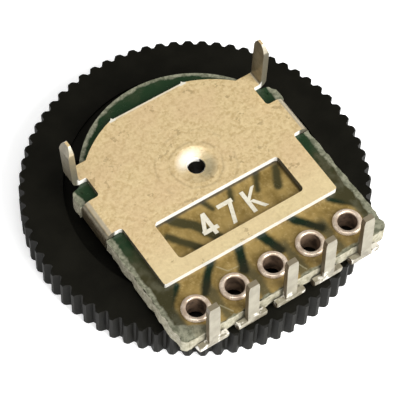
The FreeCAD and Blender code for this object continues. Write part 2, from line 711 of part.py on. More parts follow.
def make_terminal(i):
    """Strip under the board, bent up round its edge into a shouldered pin."""
    body = new_body("terminal_%d" % i)
    solid(body, "Pad", "strip", "YZ_Plane", "-strip_half_width", "strip_half_width+strip_half_width",
          outlines=[[("0", "strip_bottom_z"),
                     ("0", "strip_top_z"),
                     ("terminal_bend_y-eyelet_y", "strip_top_z", "terminal_bend_inner", -1),
                     ("terminal_back_y-eyelet_y", "terminal_bend_z"),
                     ("terminal_back_y-eyelet_y", "shoulder_z"),
                     ("terminal_face_y-eyelet_y", "shoulder_z"),
                     ("terminal_face_y-eyelet_y", "terminal_bend_z", "terminal_bend_outer", 1),
                     ("terminal_bend_y-eyelet_y", "strip_bottom_z")]])
    solid(body, "Pad", "pad_end", "XY_Plane", "strip_bottom_z", "terminal_thickness",
          circles=[("0", "0", "strip_half_width")])
    solid(body, "Pad", "upright", "XZ_Plane", "eyelet_y-terminal_back_y", "terminal_thickness", outlines=[[
        ("-shoulder_half_width", "terminal_bend_z"),
        ("shoulder_half_width", "terminal_bend_z"),
        ("shoulder_half_width", "shoulder_z"),
        ("pin_half_width", "shoulder_z"),
        ("pin_half_width-pin_taper_lean", "pin_taper_z"),
        ("pin_tip_half_width-pin_lean", "pin_top_z"),
        ("-pin_tip_half_width-pin_lean", "pin_top_z"),
        ("-pin_half_width-pin_taper_lean", "pin_taper_z"),
        ("-pin_half_width", "shoulder_z"),
        ("-shoulder_half_width", "shoulder_z")]])
    spin(body, "Groove", "countersunk_hole", [
        ("0", "strip_bottom_z"),
        ("eyelet_flare_radius", "strip_bottom_z"),
        ("eyelet_barrel_radius", "eyelet_flare_z"),
        ("eyelet_barrel_radius", "strip_top_z"),
        ("0", "strip_top_z")])
    place(body, i)
    return body


def place(body, i):
    """Stand a body made about its own eyelet at terminal number i."""
    body.setExpression(".Placement.Base.x", formula(terminal_x(i)))
    body.setExpression(".Placement.Base.y", formula("eyelet_y"))


def make_eyelet(i):
    """Hollow rivet: rolled flange on the board, flared into the terminal below."""
    body = new_body("eyelet_%d" % i)
    spin(body, "Revolution", "section", [
        ("eyelet_hole_radius", "eyelet_flare_z"),
        ("flare_hole_radius", "strip_bottom_z"),
        ("eyelet_flare_radius", "strip_bottom_z"),
        ("eyelet_barrel_radius", "eyelet_flare_z"),
        ("eyelet_barrel_radius", "board_top_z"),
        ("eyelet_flange_radius-eyelet_lip", "board_top_z"),
        ("eyelet_flange_radius", "board_top_z+eyelet_lip"),
        ("eyelet_flange_radius", "eyelet_top_z-eyelet_roll", "eyelet_roll", 1),
        ("eyelet_flange_radius-eyelet_roll", "eyelet_top_z"),
        ("eyelet_hole_radius+eyelet_roll", "eyelet_top_z", "eyelet_roll", 1),
        ("eyelet_hole_radius", "eyelet_top_z-eyelet_roll"),
    ])
    place(body, i)
    return body


def make_conductor(i):
    """Silver print: land round the eyelet, tapered link, and ring or track ends."""
    body = new_body("conductor_%d" % i)
    x = terminal_x(i)
    tip_x, tip_y = "link_%d_x" % i, "link_%d_y" % i
    solid(body, "Pad", "land", "XY_Plane", "strip_top_z", "film_thickness",
          circles=[(x, "eyelet_y", "land_radius")])
    solid(body, "Pad", "link", "XY_Plane", "strip_top_z", "film_thickness",
          outlines=[[(x + "-link_foot_half_width", "eyelet_y"),
                     (x + "+link_foot_half_width", "eyelet_y"),
                     (tip_x + "+link_tip_half_width", tip_y),
                     (tip_x + "-link_tip_half_width", tip_y)]])
    for name, inner, outer, span, start in CONDUCTOR_ARCS[i]:
        spin(body, "Revolution", name,
             ring_section(inner, outer, "strip_top_z", "board_bottom_z"), span, start)
    solid(body, "Pocket", "eyelet_hole", "XY_Plane", "board_bottom_z", "film_thickness",
          circles=[(x, "eyelet_y", "eyelet_barrel_radius")])
    return body


def make_track(label, inner, outer):
    body = new_body(label)
    spin(body, "Revolution", "arc", ring_section(inner, outer, "strip_top_z", "board_bottom_z"),
         "track_span", "track_start")
    return body


def make_washer():
    body = new_body("retaining_washer")
    spin(body, "Revolution", "ring",
         ring_section("boss_outer_radius", "washer_radius", "washer_bottom_z", "washer_top_z"))
    return body


def make_stop_peg():
    body = new_body("stop_peg")
    solid(body, "Pad", "pin", "XY_Plane", "peg_bottom_z", "peg_length+peg_seat_depth",
          circles=[("peg_x", "peg_y", "peg_radius")])
    return body


def bar(x1, x2, y):
    return box_points(x1, x2, y + "-ink_half_width", y + "+ink_half_width")


def stroke(x1, y1, x2, y2):
    return [(x1 + "-ink_half_width", y1), (x1 + "+ink_half_width", y1),
            (x2 + "+ink_half_width", y2), (x2 + "-ink_half_width", y2)]


def make_value_glyphs():
    """Plain block figures 4, 7 and K printed on the board inside the window."""
    low, high = "glyph_base_y", "glyph_top_y"
    left, right = "glyph_%d_left", "glyph_%d_right"
    left_stroke, right_stroke = left + "+ink_half_width", right + "-ink_half_width"
    left_third = left + "+glyph_third"
    stem = right % 0 + "-glyph_third"
    figures = [
        ("value_figure_4", [bar(left % 0, right % 0, "glyph_bar_y"),
                            stroke(left_stroke % 0, "glyph_bar_y", stem, high),
                            stroke(stem, low, stem, high)]),
        ("value_figure_7", [bar(left % 1, right % 1, high + "-ink_half_width"),
                            stroke(left_third % 1, low, right_stroke % 1, high)]),
        ("value_letter_k", [stroke(left_stroke % 2, low, left_stroke % 2, high),
                            stroke(left_stroke % 2, "glyph_mid_y", right_stroke % 2, high),
                            stroke(right_stroke % 2, low, left_third % 2, "glyph_mid_y")]),
    ]
    bodies = []
    for label, strokes in figures:
        body = new_body(label)
        for count, outline in enumerate(strokes, start=1):
            solid(body, "Pad", "stroke_%d" % count, "XY_Plane", "board_top_z", "ink_thickness",
                  outlines=[outline])
        bodies.append(body)
    return bodies


def check(bodies):
    """Stop before writing anything if a feature failed or a shape is unsound."""
    doc.recompute()
    faults = [item.Label for item in doc.Objects if {"Invalid", "Error"} & set(item.State)]
    for body in bodies:
        shape = body.Shape
        if shape.isNull() or not shape.isValid() or len(shape.Solids) != 1:
            faults.append(body.Label)
    if faults:
        raise RuntimeError("unsound: " + ", ".join(faults))


fill_sheet()
bodies = [make_frame_plate(), make_element_board()]
bodies.append(make_track("outer_track", "outer_track_r1", "outer_track_r2"))
bodies.append(make_track("inner_track", "inner_track_r1", "inner_track_r2"))
for terminal in TERMINALS:
    bodies.append(make_conductor(terminal))
    bodies.append(make_terminal(terminal))
    bodies.append(make_eyelet(terminal))
bodies.extend(make_value_glyphs())
bodies.append(make_washer())
bodies.append(make_stop_peg())
bodies.append(make_thumbwheel())
bodies.append(make_wiper("outer_wiper", 1, "outer_track_mid", "outer_ring_mid", "outer_stake_y"))
bodies.append(make_wiper("inner_wiper", -1, "inner_track_mid", "inner_ring_mid", "inner_stake_y"))
check(bodies)
os.makedirs("parts", exist_ok=True)
for body in bodies:
    body.Shape.exportStep("parts/%s.step" % body.Label)
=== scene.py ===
import functools
import json
import math

import bmesh
import bpy
from mathutils import Euler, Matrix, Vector, noise


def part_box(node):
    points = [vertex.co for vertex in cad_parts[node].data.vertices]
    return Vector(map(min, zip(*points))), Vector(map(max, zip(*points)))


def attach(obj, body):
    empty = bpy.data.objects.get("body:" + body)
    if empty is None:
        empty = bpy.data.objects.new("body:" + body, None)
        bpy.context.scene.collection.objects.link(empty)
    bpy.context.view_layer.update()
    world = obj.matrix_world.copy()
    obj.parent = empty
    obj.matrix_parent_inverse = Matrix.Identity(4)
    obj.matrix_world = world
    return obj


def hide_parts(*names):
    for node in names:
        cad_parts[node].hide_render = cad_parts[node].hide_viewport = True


# Looks of a 16 mm thumbwheel potentiometer, in the part's own frame: +Z up through
# the frame plate, +X along the terminals, +Y towards the standing legs. The sizes
# and places named here are in millimetres, and so are the shaders' coordinates.
# Blender's own lengths are metres: a size times MM.

MM = 0.001

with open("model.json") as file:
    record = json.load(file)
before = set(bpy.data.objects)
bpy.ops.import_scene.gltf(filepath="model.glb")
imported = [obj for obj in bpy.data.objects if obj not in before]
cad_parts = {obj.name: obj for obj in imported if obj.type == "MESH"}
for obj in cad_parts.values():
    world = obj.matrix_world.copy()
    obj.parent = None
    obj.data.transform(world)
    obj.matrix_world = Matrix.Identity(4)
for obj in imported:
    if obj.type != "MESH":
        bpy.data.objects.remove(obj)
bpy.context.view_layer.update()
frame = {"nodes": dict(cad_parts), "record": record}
NODES = frame["nodes"]


def box_mm(node):
    """Lowest and highest corners of a CAD node at rest, in millimetres."""
    return [Vector(corner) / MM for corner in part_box(node)]


BOARD_LOW, BOARD_HIGH = box_mm("element_board")
EYELET_LOW, EYELET_HIGH = box_mm("eyelet_3")
PIN_TOP_Z = box_mm("terminal_3")[1].z

TERMINAL_PITCH = (box_mm("terminal_5")[0].x - box_mm("terminal_1")[0].x) / 4
EYELET_Y = (EYELET_LOW.y + EYELET_HIGH.y) / 2
EYELET_BORE = 0.44

# The frame plate: sheet on the board with a dished bore, a straight far edge
# (the chord), a window, side clips and two legs outside LEG_ROOT_X.
PLATE_THICKNESS = 0.3
PLATE_TOP_Z = BOARD_HIGH.z + PLATE_THICKNESS
PALE_STRIP_Y = -3.0
CENTRE_BORE = 0.44
DISH_RADIUS = 0.84
CHORD_Y = 4.07
CHORD_HALF_WIDTH = 1.9
LEG_ROOT_X = 4.7
LEG_COIN_Z = PLATE_TOP_Z + 0.9
WINDOW_HALF_WIDTH = 3.3
WINDOW_BOTTOM_Y = -3.7
WINDOW_TOP_Y = -1.58

# The board: straight sides, and from ARC_FROM_Y on an arc about the bore. Its lands
# fan out towards the pins. The bare ground turns green from GREEN_FROM_Y on.
BOARD_HALF_WIDTH = 5.43
BOARD_ARC = 5.3
ARC_FROM_Y = 2.2
GREEN_FROM_Y = -2.6
LANDS_HALF_WIDTH = 4.75
LANDS_END_Y = -1.3
LANDS_FADE_Y = -5.2
LANDS_SLOPE = 0.75
LANDS_APEX = 0.75
GAPS_GREEN_FROM_Y = -5.1
HALO_WIDTH = 0.27


# ---------------------------------------------------------------- node fields

class Field:
    """A number worked out at each point of a surface by Math nodes."""

    def __init__(self, tree, socket):
        self.tree = tree
        self.socket = socket

    def math(self, operation, *others, clamp=False):
        node = self.tree.nodes.new("ShaderNodeMath")
        node.operation = operation
        node.use_clamp = clamp
        for place, value in enumerate((self,) + others):
            if isinstance(value, Field):
                self.tree.links.new(value.socket, node.inputs[place])
            else:
                node.inputs[place].default_value = value
        return Field(self.tree, node.outputs[0])

    def __add__(self, other):
        return self.math("ADD", other)

    def __sub__(self, other):
        return self.math("SUBTRACT", other)

    def __mul__(self, other):
        return self.math("MULTIPLY", other)

    def __truediv__(self, other):
        return self.math("DIVIDE", other)

    def abs(self):
        return self.math("ABSOLUTE")

    def min(self, other):
        return self.math("MINIMUM", other)

    def max(self, other):
        return self.math("MAXIMUM", other)

    def below(self, edge, soft):
        """1 where the field is under edge, fading to 0 over a width of soft."""
        node = self.tree.nodes.new("ShaderNodeMapRange")
        node.interpolation_type = "SMOOTHSTEP"
        node.inputs["From Min"].default_value = edge - soft / 2
        node.inputs["From Max"].default_value = edge + soft / 2
        node.inputs["To Min"].default_value = 1
        node.inputs["To Max"].default_value = 0
        self.tree.links.new(self.socket, node.inputs["Value"])
        return Field(self.tree, node.outputs[0])

    def above(self, edge, soft):
        """1 where the field is over edge, fading to 0 over a width of soft."""
        return self.below(edge, soft).scaled(-1.0, 1.0)

    def scaled(self, factor, offset):
        """The field times factor, plus offset."""
        return self.math("MULTIPLY_ADD", factor, offset)

    def wrapped(self, pitch):
        """Signed distance to the nearest of a row of lines pitch apart."""
        return (self / pitch).math("WRAP", 0.5, -0.5) * pitch


# The Mix node has a socket of each name per data type; these are the colours'.
MIX_COLOUR_A = 6
MIX_COLOUR_B = 7
MIX_COLOUR_OUT = 2


class Surface:
    """A new node material with helpers for what its shader needs."""

    def __init__(self, name, metallic=0.0, roughness=0.5, specular=0.5):
        self.material = bpy.data.materials.new(name)
        self.material.use_nodes = True
        self.tree = self.material.node_tree
        self.shader = self.tree.nodes["Principled BSDF"]
        self.shader.inputs["Metallic"].default_value = metallic
        self.shader.inputs["Roughness"].default_value = roughness
        self.shader.inputs["Specular IOR Level"].default_value = specular
        coordinates = self.tree.nodes.new("ShaderNodeTexCoord")
        scale = self.tree.nodes.new("ShaderNodeVectorMath")
        scale.operation = "SCALE"
        scale.inputs["Scale"].default_value = 1 / MM
        self.tree.links.new(coordinates.outputs["Object"], scale.inputs[0])
        self.point = scale.outputs["Vector"]
        split = self.tree.nodes.new("ShaderNodeSeparateXYZ")
        self.tree.links.new(self.point, split.inputs[0])
        self.x, self.y, self.z = (Field(self.tree, split.outputs[i]) for i in range(3))
        normal = self.tree.nodes.new("ShaderNodeSeparateXYZ")
        self.tree.links.new(coordinates.outputs["Normal"], normal.inputs[0])
        self.nx, self.ny, self.nz = (Field(self.tree, normal.outputs[i]) for i in range(3))

    def noise(self, scale, detail=3.0, rough=0.55, stretch=(1, 1, 1), shift=0.0):
        """Noise of 0 to 1 about 0.5, of about scale features per millimetre.

        A shift takes another part of the pattern, so that two noises differ.
        """
        place = self.tree.nodes.new("ShaderNodeMapping")
        place.inputs["Scale"].default_value = stretch
        place.inputs["Location"].default_value = (shift, shift * 0.7, shift * 0.3)
        self.tree.links.new(self.point, place.inputs["Vector"])
        node = self.tree.nodes.new("ShaderNodeTexNoise")
        node.inputs["Scale"].default_value = scale
        node.inputs["Detail"].default_value = detail
        node.inputs["Roughness"].default_value = rough
        self.tree.links.new(place.outputs[0], node.inputs["Vector"])
        return Field(self.tree, node.outputs["Fac"])

    def colour(self, value):
        """A colour socket made from an (r, g, b) triple, or the socket given."""
        if not isinstance(value, tuple):
            return value
        node = self.tree.nodes.new("ShaderNodeRGB")
        node.outputs[0].default_value = value + (1.0,)
        return node.outputs[0]

    def mix(self, amount, first, second):
        """The first colour where amount is 0, the second where it is 1."""
        node = self.tree.nodes.new("ShaderNodeMix")
        node.data_type = "RGBA"
        if isinstance(amount, Field):
            self.tree.links.new(amount.socket, node.inputs["Factor"])
        else:
            node.inputs["Factor"].default_value = amount
        self.tree.links.new(self.colour(first), node.inputs[MIX_COLOUR_A])
        self.tree.links.new(self.colour(second), node.inputs[MIX_COLOUR_B])
        return node.outputs[MIX_COLOUR_OUT]

    def paint(self, colour):
        self.tree.links.new(self.colour(colour), self.shader.inputs["Base Color"])

    def roughen(self, field):
        self.tree.links.new(field.socket, self.shader.inputs["Roughness"])

    def metal(self, field):
        self.tree.links.new(field.socket, self.shader.inputs["Metallic"])

    def bump(self, height, depth_mm):
        """Bump whose field of 0 to 1 stands depth_mm high."""
        node = self.tree.nodes.new("ShaderNodeBump")
        node.inputs["Distance"].default_value = depth_mm * MM
        self.tree.links.new(height.socket, node.inputs["Height"])
        self.tree.links.new(node.outputs[0], self.shader.inputs["Normal"])

    def facing(self, x, y):
        """How squarely the surface faces the way (x, y) in plan, from -1 to 1."""
        return self.nx * x + self.ny * y

    def segment(self, start, end):
        """Distance in plan from the straight line between two points."""
        (ax, ay), (bx, by) = start, end
        dx, dy = bx - ax, by - ay
        px, py = self.x - ax, self.y - ay
        along = (px * dx + py * dy) / (dx * dx + dy * dy)
        along = along.math("ADD", 0.0, clamp=True)
        return length(px - along * dx, py - along * dy)

    def path(self, points):
        """Distance in plan from the line through the points."""
        return union([self.segment(start, end) for start, end in zip(points, points[1:])], Field.min)


def length(x, y):
    """Length of the plan vector whose parts are two fields."""
    return (x * x + y * y).math("SQRT")


def union(fields, join=Field.max):
    """One field from several, by default the highest of them at each point."""
    return functools.reduce(join, fields)


# ------------------------------------------------------------------ materials

# Faint creases left round the bore when its dish was drawn: the radius, half the
# width and the strength of each.
CREASES = [(1.22, 0.04, 0.9), (1.85, 0.05, 0.6)]


def plated_steel():
    """Warm satin plating with a fine orange-peel mottle; bare cut edges; painted highlights and painted
    shade on faces by which way they turn.
    """
    skin_dark, skin_light = (0.690, 0.505, 0.245), (0.850, 0.650, 0.345)
    skin_glint, skin_blush = (0.960, 0.770, 0.440), (0.840, 0.600, 0.345)
    skin_straw = (1.0, 0.850, 0.480)
    pit, crease_painted_shade = (0.40, 0.28, 0.13), (0.30, 0.21, 0.10)
    dish_painted_highlight, dish_painted_shade = (1.0, 0.97, 0.88), (0.33, 0.32, 0.22)
    cut_bare_and_highlight, burr_painted_highlight = (1.0, 0.97, 0.90), (0.98, 0.93, 0.78)
    side_painted_shade_dark, side_painted_shade_light = (0.088, 0.083, 0.062), (0.155, 0.146, 0.112)
    clip_painted_shade, bore_painted_shade = (0.020, 0.018, 0.013), (0.012, 0.010, 0.007)
    bend_painted_reflection, end_cut_and_painted_shade, coin_painted_highlight = (0.44, 0.41, 0.33), (0.195, 0.178, 0.128), (0.50, 0.455, 0.350)

    s = Surface("plated_steel", metallic=0.5, roughness=0.4)
    broad = s.noise(0.45, 2.0)
    worms = s.noise(3.4, 3.0, 0.55)
    fine = s.noise(7.5, 3.0, 0.6)
    pits = s.noise(1.7, 3.0, 0.7, shift=4.0)
    tone = s.mix(worms.above(0.49, 0.30), skin_dark, skin_light)
    tone = s.mix(fine.above(0.52, 0.2) * 0.55, tone, skin_glint)
    tone = s.mix(broad.above(0.50, 0.3) * 0.4, tone, skin_blush)
    tone = s.mix(s.y.below(PALE_STRIP_Y, 2.0) * 0.45, tone, skin_straw)
    tone = s.mix(pits.above(0.645, 0.04) * 0.5, tone, pit)

    radius = length(s.x, s.y)
    reach = radius + (s.noise(0.8, 2.0, shift=2.0) - 0.5) * 0.35
    creases = union([(reach - middle).abs().below(half_width, 0.16) * strength
                     for middle, half_width, strength in CREASES])
    broken = s.noise(1.1, 2.0, shift=9.0).above(0.48, 0.12)
    creases = creases * broken * s.z.above(PLATE_TOP_Z - 0.2, 0.05)
    # The creases are darkened in colour as well: painted shade in the grooves.
    tone = s.mix(creases * 0.45, tone, crease_painted_shade)

    # The dish wall gets a painted highlight where it faces the terminals, and painted shade where it faces
    # the -X leg.
    dish = radius.below(DISH_RADIUS, 0.44) * s.z.above(PLATE_TOP_Z - 0.3, 0.1)
    dish_highlight = dish * s.facing(0.28, -0.96).above(0.12, 0.26) * 0.85
    tone = s.mix(dish_highlight, tone, dish_painted_highlight)
    dish_shade = dish * s.facing(-0.8, 0.6).above(0.12, 0.2)
    tone = s.mix(dish_shade * 0.55, tone, dish_painted_shade)

    # The chord's edge gets a painted highlight, and so do the burrs at its two ends.
    flat_part = s.z.below(PLATE_TOP_Z + 0.15, 0.1)
    burrs = (s.x.abs() - CHORD_HALF_WIDTH).abs().below(0.16, 0.05) * s.y.above(CHORD_Y - 0.12, 0.06)
    chord = s.x.abs().below(CHORD_HALF_WIDTH, 0.1) * s.y.above(CHORD_Y - 0.09, 0.03)
    tone = s.mix((burrs + chord * 0.6).min(1.0) * flat_part, tone, burr_painted_highlight)

    # Faces turned to the sides get painted shade and a dark painted reflection, darkest on the clips. The
    # bends get a grey painted reflection, the ends (bare cut edges) a grey painted shade, and the legs'
    # coined tips a lighter painted highlight.
    ends = s.ny.abs().above(0.6, 0.2)
    sides = s.nx.abs().above(0.62, 0.2)
    clip = s.z.below(BOARD_HIGH.z + 0.05, 0.1) * s.x.abs().above(BOARD_HALF_WIDTH - 0.2, 0.1)
    shade = s.mix(clip, s.mix(worms.above(0.5, 0.4), side_painted_shade_dark, side_painted_shade_light), clip_painted_shade)
    bends = s.nx.abs().above(0.25, 0.2) * s.nx.abs().below(0.6, 0.15) * s.x.abs().above(LEG_ROOT_X, 0.1)
    coined = s.nz.above(0.16, 0.12) * s.ny.abs().above(0.25, 0.2) * s.z.above(LEG_COIN_Z, 0.3)
    tone = s.mix(bends * 0.7, tone, bend_painted_reflection)
    tone = s.mix(sides * 0.9, tone, shade)
    tone = s.mix(ends, tone, end_cut_and_painted_shade)
    tone = s.mix(coined * 0.9, tone, coin_painted_highlight)

    # Painted shade: the bore's wall below the dish is painted near black.
    bore = radius.below(CENTRE_BORE, 0.02) * s.z.below(PLATE_TOP_Z - 0.16, 0.06)
    # Cut faces on the flat part are bare steel painted near white: partly their own colour, partly a
    # painted highlight.
    cut = ends * flat_part * s.z.above(BOARD_HIGH.z - 0.05, 0.05) * s.x.abs().below(LEG_ROOT_X + 0.25, 0.15)
    s.paint(s.mix(cut, s.mix(bore, tone, bore_painted_shade), cut_bare_and_highlight))
    # The cut edges, the bore's painted shade and the dish's painted highlight are made less metallic.
    bare = (cut + bore + dish_highlight * 0.6).min(1.0)
    s.metal(bare.scaled(-0.45, 0.45))
    s.roughen(fine.scaled(0.14, 0.33) - cut * 0.1)
    s.bump(worms * 0.6 + fine * 0.4 - creases * 0.25, 0.028)
    return s.material


# Dark gaps between the printed lands, seen through the board: the line each
# follows and half its width, in millimetres.
LAND_GAPS = [
    ([(-3.25, -5.55), (-2.2, -4.45), (-1.85, -3.95), (-3.05, -2.35)], 0.19),
    ([(-1.15, -5.5), (-0.72, -4.45), (-1.7, -2.5), (-2.5, -1.7)], 0.24),
    ([(-0.6, -2.2), (-0.75, -1.75)], 0.14),
    ([(0.75, -5.55), (0.42, -4.45)], 0.25),
    ([(0.4, -2.2), (0.6, -1.75)], 0.14),
    ([(2.9, -5.6), (2.0, -4.45)], 0.21),
    ([(1.65, -2.45), (2.05, -1.7)], 0.15),
    ([(2.55, -2.75), (3.05, -1.85)], 0.20),
    ([(-4.87, -5.3), (-4.06, -4.56)], 0.16),
    ([(4.87, -5.3), (4.06, -4.56)], 0.16),
]

# Pale scratches in the lacquer beside the eyelets.
SCRATCHES = [
    [(-2.10, -4.72), (-1.78, -5.18), (-1.30, -5.22)],
    [(0.95, -6.45), (1.15, -6.95)],
    [(-3.05, -6.35), (-2.70, -6.95)],
]


def laminate():
    """Lacquered board: tan lands and dark gaps showing through, pale crazed rim."""
    ground_olive, ground_green = (0.038, 0.034, 0.013), (0.011, 0.030, 0.011)
    ground_mottle = (0.078, 0.074, 0.043)
    land_dark, land_light = (0.165, 0.108, 0.028), (0.290, 0.200, 0.065)
    land_grain, land_olive = (0.36, 0.26, 0.10), (0.062, 0.058, 0.030)
    gap_brown, gap_green, gap_window = (0.018, 0.018, 0.008), (0.005, 0.015, 0.006), (0.058, 0.046, 0.016)
    window_edge_painted_shadow, scratch_pale = (0.010, 0.009, 0.005), (0.42, 0.38, 0.24)
    halo_dark, halo_light = (0.120, 0.124, 0.080), (0.300, 0.295, 0.210)
    sawn_dark, sawn_light = (0.26, 0.24, 0.165), (0.48, 0.45, 0.34)

    s = Surface("laminate", roughness=0.28, specular=0.4)
    blur = s.noise(1.3, 3.0)
    grain = s.noise(5.0, 4.0, 0.65)
    wander = s.noise(1.5, 3.0, 0.6, shift=7.0) - 0.5

    upper = (s.y + wander * 2.0).above(GREEN_FROM_Y, 1.8)
    mottle = blur.above(0.56, 0.25) * upper.scaled(-0.8, 1.0)
    ground = s.mix(mottle, s.mix(upper, ground_olive, ground_green), ground_mottle)

    # The lands are tan, and fade into soft olive between the eyelets.
    land = s.mix(blur.above(0.5, 0.35), land_dark, land_light)
    land = s.mix(grain.above(0.55, 0.25) * 0.4, land, land_grain)
    midway = (s.x + TERMINAL_PITCH / 2).wrapped(TERMINAL_PITCH).abs()
    between = (midway + wander * 0.5).below(0.24, 0.30)
    land = s.mix(between * s.y.below(LANDS_FADE_Y, 0.6) * 0.75, land, land_olive)

    # They show inside their fan and all over the window, crossed by the gaps.
    gap = union([(s.path(points) + wander * 0.26).below(half_width, 0.24)
                 for points, half_width in LAND_GAPS])
    in_window = s.x.abs().below(WINDOW_HALF_WIDTH + 0.1, 0.05)
    in_window = in_window * s.y.above(WINDOW_BOTTOM_Y - 0.2, 0.2) * s.y.below(WINDOW_TOP_Y + 0.2, 0.1)
    fan = (s.x.abs() + s.y * LANDS_SLOPE + wander * 0.4).below(LANDS_APEX, 0.3)
    fan = fan * s.y.below(LANDS_END_Y, 0.1) * (s.x.abs() + wander * 0.4).below(LANDS_HALF_WIDTH, 0.35)
    dark = s.mix((s.y + wander * 0.8).above(GAPS_GREEN_FROM_Y, 0.8), gap_brown, gap_green)
    dark = s.mix(in_window * 0.75, dark, gap_window)
    tone = s.mix(fan.max(in_window), ground, s.mix(gap, land, dark))

    # Painted shadow along the window's far edge and its +X edge, where the plate shades the board.
    far_edge_shadow = s.y.above(WINDOW_TOP_Y - 0.12, 0.14)
    side_edge_shadow = s.x.above(WINDOW_HALF_WIDTH - 0.12, 0.12)
    tone = s.mix(side_edge_shadow.max(far_edge_shadow) * in_window * 0.8, tone, window_edge_painted_shadow)

    for points in SCRATCHES:
        scratch = s.path(points).below(0.03, 0.04) * grain.above(0.42, 0.1)
        tone = s.mix(scratch * 0.45, tone, scratch_pale)

    # A pale crazed halo runs inside the outline. Short of ARC_FROM_Y the arc is
    # pushed away, so that only the straight edges count there.
    sides = s.x.abs().scaled(-1.0, BOARD_HALF_WIDTH)
    arc = length(s.x, s.y).scaled(-1.0, BOARD_ARC) + s.y.below(ARC_FROM_Y, 0.4) * 3.0
    inset = sides.min(s.y - BOARD_LOW.y + 0.16).min(arc)
    halo = (inset + wander * 0.45).below(HALO_WIDTH, 0.12)
    tone = s.mix(halo * 0.85, tone, s.mix(grain.above(0.5, 0.3), halo_dark, halo_light))

    wall = s.nz.abs().below(0.5, 0.2)
    s.paint(s.mix(wall, tone, s.mix(grain.above(0.5, 0.4), sawn_dark, sawn_light)))
    s.roughen(wall * 0.3 + halo * 0.2 + grain * 0.15 + 0.18)
    s.bump(grain * 0.4 + blur * 0.6, 0.020)
    return s.material


def terminal_tin():
    """Dull tin plate: cream fronts, browner on the sheared sides and ends."""
    tin_dark, tin_light = (0.215, 0.190, 0.130), (0.315, 0.285, 0.208)
    side_brown, end_brown = (0.120, 0.088, 0.052), (0.215, 0.180, 0.120)
    spot_painted_glint, spot_dark = (0.85, 0.81, 0.72), (0.13, 0.11, 0.075)

    s = Surface("tinned_terminal", metallic=0.2, roughness=0.34)
    cloud = s.noise(1.6, 3.0)
    scratch = s.noise(7.0, 3.0, stretch=(1, 1, 0.2))
    tone = s.mix(cloud.above(0.5, 0.4), tin_dark, tin_light)
    tone = s.mix(s.nx.abs().above(0.7, 0.2), tone, side_brown)
    ends = s.nz.above(0.5, 0.3) * s.z.above(PIN_TOP_Z - 0.3, 0.2)
    tone = s.mix(ends, tone, end_brown)

    # Sheared shoulders and the bends below them get painted glints in spots, and darker spots as well.
    shoulder = s.z.below(BOARD_HIGH.z - 0.1, 0.2)
    spots = s.noise(2.2, 2.0, shift=3.0)
    tone = s.mix(shoulder * spots.above(0.60, 0.05) * 0.8, tone, spot_painted_glint)
    tone = s.mix(shoulder * spots.below(0.44, 0.10) * 0.6, tone, spot_dark)
    s.paint(tone)
    s.roughen(cloud * 0.2 + 0.24)
    s.bump(scratch * 0.6 + cloud * 0.4, 0.008)
    return s.material


def eyelet_tin():
    """Bright rolled rim with a warm tint; painted shade in the dark bore."""
    rim_dark, rim_light = (0.58, 0.44, 0.32), (0.86, 0.72, 0.57)
    bore_shade_dark, bore_shade_light = (0.075, 0.048, 0.030), (0.260, 0.170, 0.110)

    s = Surface("tinned_eyelet", metallic=0.35, roughness=0.28)
    cloud = s.noise(2.6, 3.0)
    reach = length(s.x.wrapped(TERMINAL_PITCH), s.y - EYELET_Y)
    tone = s.mix(cloud.above(0.5, 0.35), rim_dark, rim_light)
    # The bore is painted dark brown as painted shade.
    bore = reach.below(EYELET_BORE + 0.015, 0.03)
    bore_shade = s.mix(cloud.above(0.5, 0.3), bore_shade_dark, bore_shade_light)
    s.paint(s.mix(bore, tone, bore_shade))
    s.metal(bore.scaled(-0.3, 0.35))
    s.roughen(bore * 0.3 + cloud * 0.2 + 0.16)
    s.bump(cloud, 0.015)
    return s.material


def black_moulding():
    """Black moulded plastic with a fine matt grain."""
    black, worn_black = (0.0044, 0.0041, 0.0025), (0.0068, 0.0063, 0.0040)

    s = Surface("black_moulding", roughness=0.5, specular=0.10)
    cloud = s.noise(0.8, 3.0)
    grain = s.noise(9.0, 3.0)
    s.paint(s.mix(cloud.above(0.5, 0.4), black, worn_black))
    s.roughen(cloud * 0.12 + grain * 0.1 + 0.40)
    s.bump(grain, 0.004)
    return s.material


def ink():
    """Off-white printing ink, thin in patches."""
    full_ink, thin_ink = (0.66, 0.62, 0.50), (0.47, 0.43, 0.32)

    s = Surface("value_ink", roughness=0.6)
    patch = s.noise(7.0, 3.0)
    s.paint(s.mix(patch.above(0.55, 0.3) * 0.5, full_ink, thin_ink))
    s.bump(patch, 0.006)
    return s.material


def speckled(name, first, second, roughness, metallic=0.0):
    """A plain finish speckled between two close colours, for the hidden pieces."""
    s = Surface(name, roughness=roughness, metallic=metallic)
    speck = s.noise(8.0, 3.0)
    s.paint(s.mix(speck, first, second))
    s.bump(speck, 0.004)
    return s.material


FINISHES = {
    "plated_steel": plated_steel(),
    "laminate": laminate(),
    "tinned_terminal": terminal_tin(),
    "tinned_eyelet": eyelet_tin(),
    "black_moulding": black_moulding(),
    "print_white": ink(),
    "carbon": speckled("carbon", (0.012, 0.012, 0.012), (0.03, 0.03, 0.03), 0.7),
    "silver_print": speckled("silver_print", (0.62, 0.58, 0.50), (0.74, 0.71, 0.64), 0.45, 0.7),
    "washer_steel": speckled("washer_steel", (0.55, 0.53, 0.50), (0.66, 0.64, 0.60), 0.35, 0.9),
    "peg_brass": speckled("peg_brass", (0.60, 0.42, 0.16), (0.72, 0.52, 0.22), 0.35, 0.9),
    "spring_bronze": speckled("spring_bronze", (0.62, 0.36, 0.15), (0.74, 0.45, 0.20), 0.3, 0.95),
}


def dress_nodes():
    """Give every CAD node the finish of its material slot."""
    for entry in frame["record"]["subparts"]:
        node = NODES[entry["node"]]
        node.data.materials.clear()
        node.data.materials.append(FINISHES[entry["material_slot"]])


# ------------------------------------------------------------------- the board

